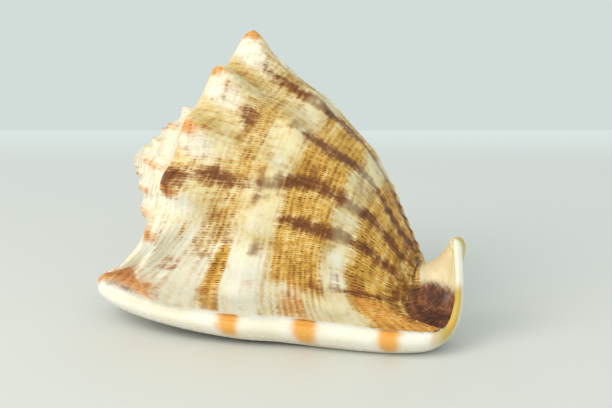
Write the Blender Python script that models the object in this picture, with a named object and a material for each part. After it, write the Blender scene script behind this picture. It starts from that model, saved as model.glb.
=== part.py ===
"""Helmet shell standing on its lip and shield, as one solid: rows of one grown section, apex to canal."""
import math

import bmesh
import bpy
import numpy as np

MM = 0.001

# Mesh: rows from the apex to the canal, columns over the back and then under the shell
COLUMNS = 96
COLUMNS_OVER = 58
ROWS = 52
ROWS_SPIRE = 14
ROWS_BODY = 25

# Coil, in mm: +X towards the canal, -Y the side of the outer lip, +Z up
AXIS_TILT = math.radians(11.5)
AXIS = np.array([math.cos(AXIS_TILT), 0.0, -math.sin(AXIS_TILT)])
RING_CENTRE = np.array([0.0, 0.0, 57.0])
RING_RADIUS = 54.0
SPIRE_HEIGHT = 38.0
WHORL_GROWTH = 1.75
SPIRE_KNOBS = 10
BODY_LENGTH = 118.0
FRAME_SHIFT = np.array([-32.478, 4.13, 0.0])

# Angles round the coil where the outer wall runs into the lip and into the shield
LIP_ANGLE = math.radians(126)
SHIELD_ANGLE = math.radians(-122)

# Stations of growth row t: 0 at the shoulder, 1 at the crease behind the canal, 1.5 at its tip
BACK = [  # t, x, z of the line along the back
    (0.0, 14.0, 109.0), (0.15, 29.5, 101.5), (0.30, 43.5, 94.5), (0.42, 53.0, 86.5),
    (0.58, 65.5, 74.5), (0.69, 73.0, 64.0), (0.80, 79.5, 51.0), (0.90, 86.0, 38.0),
    (0.96, 88.2, 32.5), (1.02, 90.0, 30.4), (1.10, 93.0, 31.4), (1.22, 97.0, 34.2),
    (1.34, 100.6, 38.8), (1.50, 104.5, 43.5)]
MIDDLE = [  # t, x, z of the middle of the row
    (0.0, 1.5, 57.0), (0.15, 18.5, 51.5), (0.30, 34.0, 46.0), (0.42, 46.0, 41.0),
    (0.58, 59.0, 34.5), (0.69, 67.5, 29.0), (0.80, 75.5, 23.0), (0.90, 84.0, 17.5),
    (0.97, 91.0, 14.5), (1.03, 97.5, 15.0), (1.10, 102.0, 19.0), (1.22, 103.5, 28.0),
    (1.36, 104.5, 36.0), (1.50, 105.5, 41.0)]
HALF_WIDTH = [  # t, half width towards the lip, towards the shield
    (0.0, 53.0, 49.0), (0.15, 54.0, 49.0), (0.30, 52.0, 46.5), (0.42, 49.5, 43.5),
    (0.58, 44.0, 37.5), (0.69, 39.0, 32.5), (0.80, 32.5, 26.5), (0.90, 26.0, 21.0),
    (0.97, 21.0, 17.0), (1.03, 15.5, 13.0), (1.10, 10.5, 10.5), (1.22, 7.0, 9.5),
    (1.36, 5.5, 8.0), (1.50, 3.5, 5.5)]
LIP_RIM = [  # t, x, y, z of the foot of the outer lip
    (0.0, -43.5, -22.0, 11.0), (0.05, -38.0, -30.5, 10.8), (0.10, -28.0, -37.0, 10.2),
    (0.15, -15.0, -41.0, 9.2), (0.20, -1.0, -42.5, 8.0), (0.30, 23.0, -42.0, 6.5),
    (0.42, 41.0, -38.5, 6.0), (0.58, 62.0, -35.0, 4.8), (0.69, 77.0, -32.5, 4.1),
    (0.80, 91.0, -29.0, 3.8), (0.90, 101.5, -24.0, 4.4), (0.97, 106.5, -18.5, 7.4),
    (1.03, 108.6, -14.0, 12.0), (1.10, 109.2, -11.0, 18.0), (1.22, 108.6, -8.5, 28.0),
    (1.36, 107.2, -6.5, 37.0), (1.50, 105.8, -3.8, 43.0)]
SHIELD_RIM = [  # t, x, y, z of the far rim of the shield
    (0.0, -30.0, 38.0, 8.0), (0.05, -25.5, 43.5, 7.5), (0.10, -17.0, 48.5, 7.0),
    (0.15, -8.0, 52.0, 6.5), (0.20, 2.0, 54.5, 6.0), (0.30, 21.0, 55.5, 5.5),
    (0.42, 38.0, 52.5, 5.5), (0.58, 59.0, 46.5, 5.5), (0.69, 73.0, 41.0, 6.0),
    (0.80, 83.0, 34.5, 7.0), (0.90, 90.0, 27.5, 9.5), (0.97, 95.0, 22.0, 12.5),
    (1.03, 98.5, 18.5, 16.0), (1.10, 101.0, 15.5, 21.0), (1.22, 104.5, 13.0, 30.0),
    (1.36, 106.0, 10.5, 37.5), (1.50, 105.0, 5.5, 42.0)]
APERTURE = [  # t, depth of the aperture as a share of its deepest
    (0.0, 0.0), (0.06, 0.0), (0.14, 0.18), (0.24, 0.70), (0.34, 1.0), (0.58, 1.0),
    (0.70, 0.85), (0.80, 0.55), (0.88, 0.28), (0.97, 0.10), (1.10, 0.04), (1.5, 0.0)]
LIP_SCALE = [  # t, thickness of the lip as a share of its thickest
    (0.0, 0.40), (0.05, 0.66), (0.10, 0.80), (0.18, 0.84), (0.30, 0.93), (0.52, 1.05), (0.76, 0.97),
    (0.89, 0.84), (0.97, 0.52), (1.10, 0.30), (1.22, 0.25), (1.5, 0.20)]

# Shoulder knobs: angle round the coil in degrees, height, half width along the shoulder, row
KNOBS = [
    (2.0, 13.9, 7.0, 0.025), (29.0, 12.5, 6.6, 0.03), (53.0, 12.0, 6.6, 0.03), (75.0, 12.0, 6.6, 0.03),
    (93.0, 11.0, 8.0, 0.0), (107.0, 11.5, 7.0, -0.01), (-28.0, 6.5, 7.5, 0.035), (-57.0, 7.5, 7.5, 0.035),
    (-84.0, 6.0, 7.5, 0.035), (-108.0, 4.0, 7.5, 0.035)]
# Lower rows of lumps: row t, height as a share of the knob above
LUMP_ROWS = [(0.335, 0.18), (0.60, 0.12)]

# Rounded end of the canal: the row where it starts and how far the tip stands off it
TIP_ROW = 1.40
TIP_RISE = np.array([-0.8, 0.0, 3.2])


def through(stations, t):
    """Smooth curve through the stations, read at t."""
    table = np.array(stations)
    knots = table[:, 0]
    values = table[:, 1:]
    slope = np.gradient(values, knots, axis=0)
    t = np.clip(t, knots[0], knots[-1])
    i = np.clip(np.searchsorted(knots, t, side="right") - 1, 0, len(knots) - 2)
    step = knots[i + 1] - knots[i]
    f = ((t - knots[i]) / step)[..., None]
    step = step[..., None]
    start = (2 * f**3 - 3 * f**2 + 1) * values[i] + (f**3 - 2 * f**2 + f) * step * slope[i]
    end = (3 * f**2 - 2 * f**3) * values[i + 1] + (f**3 - f**2) * step * slope[i + 1]
    return start + end


def ease(low, high, x):
    """0 at low, 1 at high, smooth between."""
    f = np.clip((x - low) / (high - low), 0.0, 1.0)
    return f * f * (3.0 - 2.0 * f)


def outer_wall(t, angle):
    """Points of the coiled wall on row t at an angle round the coil, 0 along the back."""
    middle = through(MIDDLE, t)
    up = through(BACK, t) - middle
    width = through(HALF_WIDTH, t)
    drop = np.maximum(middle[..., 1] - 3.0, 2.0) / np.maximum(up[..., 1], 0.001)
    turned = ease(0.88, 1.16, t)
    down = -up * (drop * (1.0 - turned) + 0.55 * turned)[..., None]
    c = np.cos(angle)
    s = np.sin(angle)
    tall = np.where(c[..., None] > 0.0, c[..., None] * up, -c[..., None] * down)
    wide = np.where(s > 0.0, width[..., 0], width[..., 1])
    bent = np.sign(s) * np.abs(s) ** np.where(c < 0.0, 0.8, 1.0)
    return np.stack([middle[..., 0] + tall[..., 0], -wide * bent, middle[..., 1] + tall[..., 1]], -1)


def underside(t):
    """Seventeen points across the underside of row t: lip, aperture, columella, shield."""
    lip = through(LIP_RIM, t)
    shield = through(SHIELD_RIM, t)
    size = through(LIP_SCALE, t)
    depth = through(APERTURE, t)
    opened = ease(0.0, 0.25, depth)
    turn = ease(0.88, 1.16, t) * math.pi / 2
    inward = np.stack([-np.sin(turn), np.zeros_like(turn), np.cos(turn)], -1)
    across = shield - lip
    across = across / np.linalg.norm(across, axis=-1, keepdims=True)

    def from_lip(over, into, deep=0.0):
        return lip + across * over * size + inward * (into * size + deep * depth)

    def in_slot(over, over_shut, into, into_shut, deep):
        return from_lip(over_shut + (over - over_shut) * opened, into_shut + (into - into_shut) * opened, deep)

    def from_shield(over, into):
        return shield - across * over * size + inward * into * size

    points = [
        from_lip(1.2, 8.0), from_lip(-0.4, 6.0), from_lip(0.0, 2.4), from_lip(4.0, -1.8), from_lip(10.0, -4.4),
        in_slot(12.6, 14.0, 1.0, 2.0, 3.0), in_slot(12.2, 17.0, 0.0, 3.0, 18.0),
        in_slot(20.0, 20.0, 0.0, 3.4, 30.0), in_slot(29.0, 23.0, 0.0, 3.0, 18.0),
        in_slot(25.5, 26.0, -1.0, 1.0, 3.0), in_slot(28.5, 29.0, -4.0, -2.0, 0.0)]

    # The shield lies on the ground over its middle and rises to its rim and behind
    low = (ease(0.0, 0.20, t) * (1.0 - ease(0.88, 1.16, t)) * (1.0 - ease(0.80, 1.0, t)))[..., None]
    bow = np.zeros_like(lip)
    bow[..., 0] = -5.0 * (1.0 - ease(0.0, 0.20, t))
    near = points[-1]
    far = from_shield(8.0, -1.0)
    far[..., 2] -= np.maximum(far[..., 2] - 0.6, 0.0) * low[..., 0]
    for f in (0.33, 0.67):
        arch = 4.0 * f * (1.0 - f)
        between = near * (1.0 - f) + far * f
        between[..., 2] -= (between[..., 2] + 0.5) * low[..., 0]
        points.append(between + arch * (2.0 * size * inward * (1.0 - low) + bow))
    points += [far, from_shield(0.0, 2.5), from_shield(1.2, 6.5), from_shield(5.0, 9.5)]
    return np.stack(points, -2)


def section(t, over, under):
    """Closed rows t without their relief: columns over the back, then back under the shell."""
    angles = LIP_ANGLE + (SHIELD_ANGLE - LIP_ANGLE) * over
    rows, columns = np.meshgrid(t, angles, indexing="ij")
    wall = outer_wall(rows, columns)
    corners = underside(t)
    start = np.radians(90.0 - 28.0 * ease(0.0, 0.25, rows))
    to_lip = ease(start, LIP_ANGLE, columns)[..., None] ** 1.5
    to_shield = ease(math.radians(-70), SHIELD_ANGLE, columns)[..., None] ** 1.5
    wall = wall + to_lip * (corners[:, None, 0] - wall[:, :1]) + to_shield * (corners[:, None, -1] - wall[:, -1:])

    # Under the shell: a spline through the seventeen points, from the shield back to the lip
    k = max(1, round(len(over) * 0.06))
    guides = np.concatenate([wall[:, None, -1 - k], corners[:, ::-1], wall[:, None, k]], 1)
    place = 1.0 + under * (corners.shape[1] - 1)
    i = np.clip(np.floor(place).astype(int), 1, guides.shape[1] - 3)
    f = (place - i)[:, None]
    a, b, c, d = (guides[:, i + step] for step in (-1, 0, 1, 2))
    base = 0.5 * (2 * b + (c - a) * f + (2 * a - 5 * b + 4 * c - d) * f**2 + (3 * b - a - 3 * c + d) * f**3)
    return np.concatenate([wall, base], 1)


def spire(s, angles, over, under):
    """Spire rows, s from 0 at the apex to 1 at the shoulder, with whorl steps and beads."""
    ring = outer_wall(np.zeros_like(angles), angles)
    flare = section(np.zeros(1), over, under)[0] - ring
    s = s[:, None]
    u = np.clip((s - 0.60) / 0.40, 0.0, 1.0)
    lower = np.concatenate([np.zeros(len(over)), ease(0.0, 0.16, under) * ease(1.0, 0.84, under)])[None, :]
    out = np.clip(u / (1.0 - 0.06 * lower), 0.0, 1.0) ** 2.5
    edge = 3.0 * np.sqrt(1.0 - np.clip((u - 0.86) / 0.14, 0.0, 1.0) ** 2) * np.minimum(u / 0.86, 1.0) ** 2

    # How many whorls a point lies above the shoulder, and how far down its own whorl
    back = (LIP_ANGLE - angles)[None, :] / math.tau
    whorl = np.log(1.0 / s) / math.log(WHORL_GROWTH) - back * ease(1.0, 0.72, s)
    f = whorl - np.floor(whorl)
    step = np.where(f < 0.84, -(f / 0.84) ** 1.2, -((1.0 - f) / 0.16) ** 0.8)
    flat = np.concatenate([
        ease(math.radians(70), LIP_ANGLE, angles[:len(over)])
        + ease(math.radians(-85), SHIELD_ANGLE, angles[:len(over)]), np.ones(len(under))])[None, :]
    high = 5.0 * s**0.8 * (1.0 - flat * ease(0.5, 0.75, s))
    wave = (0.5 + 0.5 * np.cos(SPIRE_KNOBS * angles))[None, :] ** 2
    bead = 6.0 * s**0.7 * wave * np.exp(-((np.minimum(f, 1.0 - f) / 0.10) ** 2)) * (s < 0.80)
    along = SPIRE_HEIGHT * (1.0 - s**0.85) + high * step + bead * 0.55
    round_ = s * (1.0 + bead * 0.6 / (RING_RADIUS * s))
    cone = RING_CENTRE + round_[..., None] * (ring - RING_CENTRE) - along[..., None] * AXIS
    cone = cone + out[..., None] * flare
    cone[..., 2] += lower * edge
    return cone


def relief(w, angles):
    """Height in mm of knobs, ribs and lumps over the plain form."""
    row = np.broadcast_to(w[:, None], (len(w), len(angles)))
    turn = np.broadcast_to(angles[None, :], row.shape)
    ridge = 0.035 + 0.165 * ease(math.radians(86), LIP_ANGLE, turn)
    along = np.where(row < 0.0, row * RING_RADIUS, row * BODY_LENGTH)
    height = np.zeros(row.shape)
    for angle, high, wide, at in KNOBS:
        round_coil = (turn - math.radians(angle)) * RING_RADIUS
        off = along - at * BODY_LENGTH
        far = np.hypot(round_coil / wide, off / np.where(off > 0.0, 15.0, 7.5))
        height = height + high * np.exp(-far**1.35)
        rib = np.exp(-(round_coil / (1.1 * wide)) ** 2)
        height = height + 0.11 * high * rib * ease(-0.02, 0.05, row - at) * (1.0 - ease(0.35, 0.85, row))
        for t, share in LUMP_ROWS:
            near = (round_coil / (0.9 * wide)) ** 2 + ((along - t * BODY_LENGTH) / 7.0) ** 2
            height = height + share * high * np.exp(-near)

    # A hollow ramp between the last ridge and the corner of the lip
    ramp = ease(math.radians(88), math.radians(106), turn) * (1.0 - ease(math.radians(118), LIP_ANGLE, turn))
    ramp = ramp * (turn < LIP_ANGLE) * ease(0.0, 0.09, row)
    height = height - 7.0 * ramp * np.exp(-((row - ridge + 0.11) / 0.075) ** 2)
    return height + 2.5 * ramp * np.exp(-((row - ridge) / 0.035) ** 2)


def shell_points(w, over, under):
    """Rows w (-1 apex, 0 shoulder, 1 crease, 1.5 canal tip) of points in mm, and the column angles."""
    t = np.clip(w, 0.0, TIP_ROW)
    angles = np.concatenate([
        LIP_ANGLE + (SHIELD_ANGLE - LIP_ANGLE) * over,
        SHIELD_ANGLE - (math.tau - LIP_ANGLE + SHIELD_ANGLE) * under])
    rows = section(t, over, under)
    rows[w < 0.0] = spire(1.0 + w[w < 0.0], angles, over, under)
    middle = through(MIDDLE, t)
    heart = np.stack([middle[:, 0], np.zeros(len(t)), middle[:, 1]], -1)[:, None]
    outward = rows - heart
    outward = outward / np.linalg.norm(outward, axis=-1, keepdims=True)
    rows = rows + outward * relief(w, angles)[..., None]

    # Round off the end of the canal, and wear the lowest parts flat where they stand
    q = np.clip((w - TIP_ROW) / (1.5 - TIP_ROW), 0.0, 0.995)[:, None, None]
    centre = rows.mean(1, keepdims=True)
    rows = centre + (rows - centre) * np.sqrt(1.0 - q**2) + TIP_RISE * q
    rows[..., 2] = np.maximum(rows[..., 2], 0.0)
    return rows, angles


def make_shell():
    w = np.concatenate([
        np.linspace(0.03, 1.0, ROWS_SPIRE, endpoint=False) ** 0.9 - 1.0,
        np.linspace(0.0, 1.0, ROWS_BODY, endpoint=False),
        np.linspace(1.0, 1.5, ROWS - 1 - ROWS_SPIRE - ROWS_BODY)])
    over = np.linspace(0.0, 1.0, COLUMNS_OVER)
    under = np.interp(np.arange(1, COLUMNS - COLUMNS_OVER + 1), [0, 8, 39], [0.0, 0.31, 1.0])
    rows, _ = shell_points(w, over, under)
    apex = rows[0].mean(0)
    tip = rows[-1].mean(0)

    bm = bmesh.new()
    bmesh.ops.create_uvsphere(bm, u_segments=COLUMNS, v_segments=ROWS, radius=1.0)
    for vertex in bm.verts:
        down = round(math.acos(max(-1.0, min(1.0, vertex.co.z))) / math.pi * ROWS)
        column = round(math.atan2(vertex.co.y, vertex.co.x) / math.tau * COLUMNS) % COLUMNS
        if down == 0:
            place = apex
        elif down == ROWS:
            place = tip
        else:
            place = rows[down - 1, column]
        vertex.co = (place + FRAME_SHIFT) * MM
    bmesh.ops.triangulate(bm, faces=bm.faces[:], quad_method="SHORT_EDGE")
    mesh = bpy.data.meshes.new("helmet_shell")
    bm.to_mesh(mesh)
    bm.free()
    shell = bpy.data.objects.new("helmet_shell", mesh)
    parts = bpy.data.collections.new("helmet shell")
    bpy.context.scene.collection.children.link(parts)
    parts.objects.link(shell)

    cream = bpy.data.materials.new("shell")
    cream.use_nodes = True
    surface = cream.node_tree.nodes["Principled BSDF"]
    surface.inputs["Base Color"].default_value = (0.80, 0.66, 0.45, 1.0)
    surface.inputs["Roughness"].default_value = 0.35
    mesh.materials.append(cream)


for existing in list(bpy.data.objects):
    bpy.data.objects.remove(existing, do_unlink=True)
make_shell()
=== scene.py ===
"""Helmet shell on a pale table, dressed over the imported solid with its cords, teeth and markings."""
import math

import bpy
import numpy as np
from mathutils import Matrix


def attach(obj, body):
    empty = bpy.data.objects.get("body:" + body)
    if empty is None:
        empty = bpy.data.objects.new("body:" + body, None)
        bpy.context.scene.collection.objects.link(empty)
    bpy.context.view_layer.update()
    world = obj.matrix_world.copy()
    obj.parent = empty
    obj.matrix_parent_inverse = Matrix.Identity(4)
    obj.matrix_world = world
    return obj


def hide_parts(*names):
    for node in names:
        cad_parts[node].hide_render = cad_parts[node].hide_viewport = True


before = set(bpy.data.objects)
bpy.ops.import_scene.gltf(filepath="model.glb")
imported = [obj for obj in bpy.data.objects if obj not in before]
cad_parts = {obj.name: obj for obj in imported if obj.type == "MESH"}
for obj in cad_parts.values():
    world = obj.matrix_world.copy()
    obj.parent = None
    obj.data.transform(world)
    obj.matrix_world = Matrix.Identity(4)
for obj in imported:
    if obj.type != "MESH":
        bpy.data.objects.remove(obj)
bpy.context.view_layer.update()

# Shell
# A snail's shell of layered aragonite, grown at its lip a turn at a time and knobbed at the shoulder.
# One sphere is reshaped row by row as the shell grows, from the apex (row -1) over the shoulder
# (row 0) to the tip of the canal (row 1.5), so cords, knobs, lip and slot are one closed skin.
MM = 0.001
COLUMNS = 270
COLUMNS_OVER = 168
ROWS = 352
ROWS_SPIRE = 58
ROWS_BODY = 243
AXIS_TILT = math.radians(11.5)
AXIS = np.array([math.cos(AXIS_TILT), 0.0, -math.sin(AXIS_TILT)])
RING_CENTRE = np.array([0.0, 0.0, 57.0])
RING_RADIUS = 54.0
SPIRE_HEIGHT = 38.0
WHORL_GROWTH = 1.75
SPIRE_KNOBS = 10  # to a whorl
SPIRE_KNOB_HEIGHT = 6.0
BODY_LENGTH = 118.0
FRAME_SHIFT = np.array([-32.478, 4.13, 0.0])
LIP_ANGLE = math.radians(126)
SHIELD_ANGLE = math.radians(-122)
BACK = [  # t, x, z of the line along the back
    (0.0, 14.0, 109.0), (0.15, 29.5, 101.5), (0.30, 43.5, 94.5), (0.42, 53.0, 86.5),
    (0.58, 65.5, 74.5), (0.69, 73.0, 64.0), (0.80, 79.5, 51.0), (0.90, 86.0, 38.0),
    (0.96, 88.2, 32.5), (1.02, 90.0, 30.4), (1.10, 93.0, 31.4), (1.22, 97.0, 34.2),
    (1.34, 100.6, 38.8), (1.50, 104.5, 43.5)]
MIDDLE = [  # t, x, z of the middle of the row
    (0.0, 1.5, 57.0), (0.15, 18.5, 51.5), (0.30, 34.0, 46.0), (0.42, 46.0, 41.0),
    (0.58, 59.0, 34.5), (0.69, 67.5, 29.0), (0.80, 75.5, 23.0), (0.90, 84.0, 17.5),
    (0.97, 91.0, 14.5), (1.03, 97.5, 15.0), (1.10, 102.0, 19.0), (1.22, 103.5, 28.0),
    (1.36, 104.5, 36.0), (1.50, 105.5, 41.0)]
HALF_WIDTH = [  # t, half width towards the lip, towards the shield
    (0.0, 53.0, 49.0), (0.15, 54.0, 49.0), (0.30, 52.0, 46.5), (0.42, 49.5, 43.5),
    (0.58, 44.0, 37.5), (0.69, 39.0, 32.5), (0.80, 32.5, 26.5), (0.90, 26.0, 21.0),
    (0.97, 21.0, 17.0), (1.03, 15.5, 13.0), (1.10, 10.5, 10.5), (1.22, 7.0, 9.5),
    (1.36, 5.5, 8.0), (1.50, 3.5, 5.5)]
LIP_RIM = [  # t, x, y, z of the foot of the outer lip
    (0.0, -43.5, -22.0, 11.0), (0.05, -38.0, -30.5, 10.8), (0.10, -28.0, -37.0, 10.2),
    (0.15, -15.0, -41.0, 9.2), (0.20, -1.0, -42.5, 8.0), (0.30, 23.0, -42.0, 6.5),
    (0.42, 41.0, -38.5, 6.0), (0.58, 62.0, -35.0, 4.8), (0.69, 77.0, -32.5, 4.1),
    (0.80, 91.0, -29.0, 3.8), (0.90, 101.5, -24.0, 4.4), (0.97, 106.5, -18.5, 7.4),
    (1.03, 108.6, -14.0, 12.0), (1.10, 109.2, -11.0, 18.0), (1.22, 108.6, -8.5, 28.0),
    (1.36, 107.2, -6.5, 37.0), (1.50, 105.8, -3.8, 43.0)]
SHIELD_RIM = [  # t, x, y, z of the far rim of the shield
    (0.0, -30.0, 38.0, 8.0), (0.05, -25.5, 43.5, 7.5), (0.10, -17.0, 48.5, 7.0),
    (0.15, -8.0, 52.0, 6.5), (0.20, 2.0, 54.5, 6.0), (0.30, 21.0, 55.5, 5.5),
    (0.42, 38.0, 52.5, 5.5), (0.58, 59.0, 46.5, 5.5), (0.69, 73.0, 41.0, 6.0),
    (0.80, 83.0, 34.5, 7.0), (0.90, 90.0, 27.5, 9.5), (0.97, 95.0, 22.0, 12.5),
    (1.03, 98.5, 18.5, 16.0), (1.10, 101.0, 15.5, 21.0), (1.22, 104.5, 13.0, 30.0),
    (1.36, 106.0, 10.5, 37.5), (1.50, 105.0, 5.5, 42.0)]
APERTURE = [  # t, depth of the aperture as a share of its deepest
    (0.0, 0.0), (0.06, 0.0), (0.14, 0.18), (0.24, 0.70), (0.34, 1.0), (0.58, 1.0),
    (0.70, 0.85), (0.80, 0.55), (0.88, 0.28), (0.97, 0.10), (1.10, 0.04), (1.5, 0.0)]
LIP_SCALE = [  # t, thickness of the lip as a share of its thickest
    (0.0, 0.40), (0.05, 0.66), (0.10, 0.80), (0.18, 0.84), (0.30, 0.93), (0.52, 1.05), (0.76, 0.97),
    (0.89, 0.84), (0.97, 0.52), (1.10, 0.30), (1.22, 0.25), (1.5, 0.20)]
KNOBS = [  # angle round the coil in degrees, height, half width along the shoulder, row
    (2.0, 13.9, 7.0, 0.025), (29.0, 12.5, 6.6, 0.03), (53.0, 12.0, 6.6, 0.03), (75.0, 12.0, 6.6, 0.03),
    (93.0, 11.0, 8.0, 0.0), (107.0, 11.5, 7.0, -0.01), (-28.0, 6.5, 7.5, 0.035), (-57.0, 7.5, 7.5, 0.035),
    (-84.0, 6.0, 7.5, 0.035), (-108.0, 4.0, 7.5, 0.035)]
LUMP_ROWS = [(0.335, 0.18), (0.60, 0.12)]  # row, height as a share of the knob above
TIP_ROW = 1.40
TIP_RISE = np.array([-0.8, 0.0, 3.2])


def through(stations, t):
    """Smooth curve through the stations, read at row t."""
    table = np.array(stations)
    knots = table[:, 0]
    values = table[:, 1:]
    slope = np.gradient(values, knots, axis=0)
    t = np.clip(t, knots[0], knots[-1])
    i = np.clip(np.searchsorted(knots, t, side="right") - 1, 0, len(knots) - 2)
    step = knots[i + 1] - knots[i]
    f = ((t - knots[i]) / step)[..., None]
    step = step[..., None]
    start = (2 * f**3 - 3 * f**2 + 1) * values[i] + (f**3 - 2 * f**2 + f) * step * slope[i]
    end = (3 * f**2 - 2 * f**3) * values[i + 1] + (f**3 - f**2) * step * slope[i + 1]
    return start + end


def ease(low, high, x):
    """0 at low, 1 at high, smooth between."""
    f = np.clip((x - low) / (high - low), 0.0, 1.0)
    return f * f * (3.0 - 2.0 * f)


def outer_wall(t, angle):
    """Points of the coiled wall on row t at an angle round the coil, 0 along the back."""
    middle = through(MIDDLE, t)
    up = through(BACK, t) - middle
    width = through(HALF_WIDTH, t)
    drop = np.maximum(middle[..., 1] - 3.0, 2.0) / np.maximum(up[..., 1], 0.001)
    turned = ease(0.88, 1.16, t)
    down = -up * (drop * (1.0 - turned) + 0.55 * turned)[..., None]
    c = np.cos(angle)
    s = np.sin(angle)
    tall = np.where(c[..., None] > 0.0, c[..., None] * up, -c[..., None] * down)
    wide = np.where(s > 0.0, width[..., 0], width[..., 1])
    bent = np.sign(s) * np.abs(s) ** np.where(c < 0.0, 0.8, 1.0)
    return np.stack([middle[..., 0] + tall[..., 0], -wide * bent, middle[..., 1] + tall[..., 1]], -1)


def underside(t):
    """Seventeen points across the underside of row t: lip, aperture, columella, shield."""
    lip = through(LIP_RIM, t)
    shield = through(SHIELD_RIM, t)
    size = through(LIP_SCALE, t)
    depth = through(APERTURE, t)
    opened = ease(0.0, 0.25, depth)
    turn = ease(0.88, 1.16, t) * math.pi / 2
    inward = np.stack([-np.sin(turn), np.zeros_like(turn), np.cos(turn)], -1)
    across = shield - lip
    across = across / np.linalg.norm(across, axis=-1, keepdims=True)

    def from_lip(over, into, deep=0.0):
        return lip + across * over * size + inward * (into * size + deep * depth)

    def in_slot(over, over_shut, into, into_shut, deep):
        over = over_shut + (over - over_shut) * opened
        into = into_shut + (into - into_shut) * opened
        return from_lip(over, into, deep)

    def from_shield(over, into):
        return shield - across * over * size + inward * into * size

    points = [
        from_lip(1.2, 8.0), from_lip(-0.4, 6.0), from_lip(0.0, 2.4),
        from_lip(4.0, -1.8), from_lip(10.0, -4.4),
        in_slot(12.6, 14.0, 1.0, 2.0, 3.0), in_slot(12.2, 17.0, 0.0, 3.0, 18.0),
        in_slot(20.0, 20.0, 0.0, 3.4, 30.0), in_slot(29.0, 23.0, 0.0, 3.0, 18.0),
        in_slot(25.5, 26.0, -1.0, 1.0, 3.0), in_slot(28.5, 29.0, -4.0, -2.0, 0.0)]

    # The shield lies on the ground over its middle and rises to its rim and behind
    low = (ease(0.0, 0.20, t) * (1.0 - ease(0.88, 1.16, t)) * (1.0 - ease(0.80, 1.0, t)))[..., None]
    bow = np.zeros_like(lip)
    bow[..., 0] = -5.0 * (1.0 - ease(0.0, 0.20, t))
    near = points[-1]
    far = from_shield(8.0, -1.0)
    far[..., 2] -= np.maximum(far[..., 2] - 0.6, 0.0) * low[..., 0]
    for f in (0.33, 0.67):
        arch = 4.0 * f * (1.0 - f)
        between = near * (1.0 - f) + far * f
        between[..., 2] -= (between[..., 2] + 0.5) * low[..., 0]
        points.append(between + arch * (2.0 * size * inward * (1.0 - low) + bow))
    points += [far, from_shield(0.0, 2.5), from_shield(1.2, 6.5), from_shield(5.0, 9.5)]
    return np.stack(points, -2)


def section(t, over, under):
    """Closed rows t without their relief: columns over the back, then back under the shell."""
    angles = LIP_ANGLE + (SHIELD_ANGLE - LIP_ANGLE) * over
    rows, columns = np.meshgrid(t, angles, indexing="ij")
    wall = outer_wall(rows, columns)
    corners = underside(t)
    start = np.radians(90.0 - 28.0 * ease(0.0, 0.25, rows))
    to_lip = ease(start, LIP_ANGLE, columns)[..., None] ** 1.5
    to_shield = ease(math.radians(-70), SHIELD_ANGLE, columns)[..., None] ** 1.5
    short_of_lip = corners[:, None, 0] - wall[:, :1]
    short_of_shield = corners[:, None, -1] - wall[:, -1:]
    wall = wall + to_lip * short_of_lip + to_shield * short_of_shield

    # Under the shell: a spline through the seventeen points, from the shield back to the lip
    k = max(1, round(len(over) * 0.055))
    guides = np.concatenate([wall[:, None, -1 - k], corners[:, ::-1], wall[:, None, k]], 1)
    place = 1.0 + under * (corners.shape[1] - 1)
    i = np.clip(np.floor(place).astype(int), 1, guides.shape[1] - 3)
    f = (place - i)[:, None]
    a, b, c, d = (guides[:, i + step] for step in (-1, 0, 1, 2))
    base = 0.5 * (2 * b + (c - a) * f + (2 * a - 5 * b + 4 * c - d) * f**2 + (3 * b - a - 3 * c + d) * f**3)
    return np.concatenate([wall, base], 1)


def spire(s, angles, over, under):
    """Spire rows, s from 0 at the apex to 1 at the shoulder, with whorl steps and knobs."""
    ring = outer_wall(np.zeros_like(angles), angles)
    flare = section(np.zeros(1), over, under)[0] - ring
    s = s[:, None]
    u = np.clip((s - 0.60) / 0.40, 0.0, 1.0)
    lower = np.concatenate([np.zeros(len(over)), ease(0.0, 0.16, under) * ease(1.0, 0.84, under)])[None, :]
    out = np.clip(u / (1.0 - 0.06 * lower), 0.0, 1.0) ** 2.5
    edge = 3.0 * np.sqrt(1.0 - np.clip((u - 0.86) / 0.14, 0.0, 1.0) ** 2) * np.minimum(u / 0.86, 1.0) ** 2

    # How many whorls a point lies above the shoulder, and how far down its own whorl
    back = (LIP_ANGLE - angles)[None, :] / math.tau
    whorl = np.log(1.0 / s) / math.log(WHORL_GROWTH) - back * ease(1.0, 0.72, s)
    f = whorl - np.floor(whorl)
    step = np.where(f < 0.84, -(f / 0.84) ** 1.2, -((1.0 - f) / 0.16) ** 0.8)
    flat = np.concatenate([
        ease(math.radians(70), LIP_ANGLE, angles[:len(over)])
        + ease(math.radians(-85), SHIELD_ANGLE, angles[:len(over)]), np.ones(len(under))])[None, :]
    high = 5.0 * s**0.8 * (1.0 - flat * ease(0.5, 0.75, s))
    wave = (0.5 + 0.5 * np.cos(SPIRE_KNOBS * angles))[None, :] ** 2
    bead = SPIRE_KNOB_HEIGHT * s**0.7 * wave * np.exp(-((np.minimum(f, 1.0 - f) / 0.10) ** 2)) * (s < 0.80)
    along = SPIRE_HEIGHT * (1.0 - s**0.85) + high * step + bead * 0.55
    round_ = s * (1.0 + bead * 0.6 / (RING_RADIUS * s))
    cone = RING_CENTRE + round_[..., None] * (ring - RING_CENTRE) - along[..., None] * AXIS
    cone = cone + out[..., None] * flare
    cone[..., 2] += lower * edge
    return cone


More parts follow.
